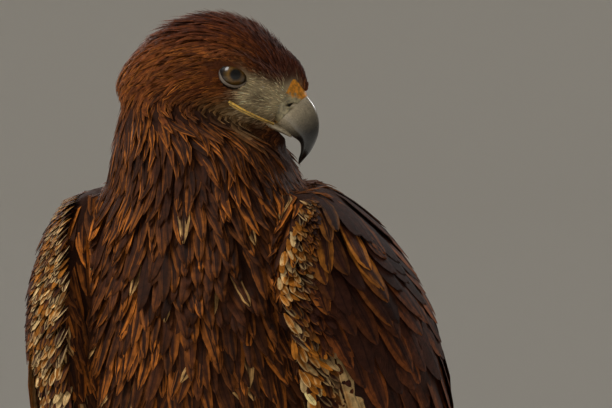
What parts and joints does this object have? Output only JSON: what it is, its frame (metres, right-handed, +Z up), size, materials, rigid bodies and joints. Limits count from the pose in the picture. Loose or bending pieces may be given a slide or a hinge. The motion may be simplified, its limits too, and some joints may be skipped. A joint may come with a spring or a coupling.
{
  "type": "golden eagle",
  "caption": "Life-size golden eagle standing with folded wings, its head turned to its left, for display as a museum model.",
  "frame": {"origin": "on the floor under the middle of the bird's length and width", "axes": "+Z up, the bird faces -Y and its left side is +X"},
  "size_m": [0.2864, 0.5146, 0.6751],
  "materials": {
    "golden_feathers": "rufous gold hackle feathers with dark centres, matt with a soft sheen",
    "brown_feathers": "dark brown contour and flight feathers with rufous edges, matt with a soft sheen",
    "leg_feathers": "short, pale brown leg feathers, matt",
    "yellow_skin": "scaly yellow skin of the toes, cere and corners of the mouth",
    "horn": "smooth dark horn, grey at the root of the bill and black towards the tips",
    "eye": "wet, glossy eye with an amber-brown iris and a black pupil"
  },
  "bodies": {
    "root": {"head": "golden_feathers", "neck": "golden_feathers", "torso": "brown_feathers", "tail": "brown_feathers", "left_wing": "brown_feathers", "right_wing": "brown_feathers", "left_thigh": "brown_feathers", "right_thigh": "brown_feathers", "left_shank": "leg_feathers", "right_shank": "leg_feathers", "left_foot": "yellow_skin", "right_foot": "yellow_skin", "cere": "yellow_skin", "upper_bill": "horn", "lower_bill": "horn", "left_eye": "eye", "right_eye": "eye", "left_inner_claw": "horn", "left_middle_claw": "horn", "left_outer_claw": "horn", "left_hallux_claw": "horn", "right_inner_claw": "horn", "right_middle_claw": "horn", "right_outer_claw": "horn", "right_hallux_claw": "horn"}
  },
  "joints": []
}
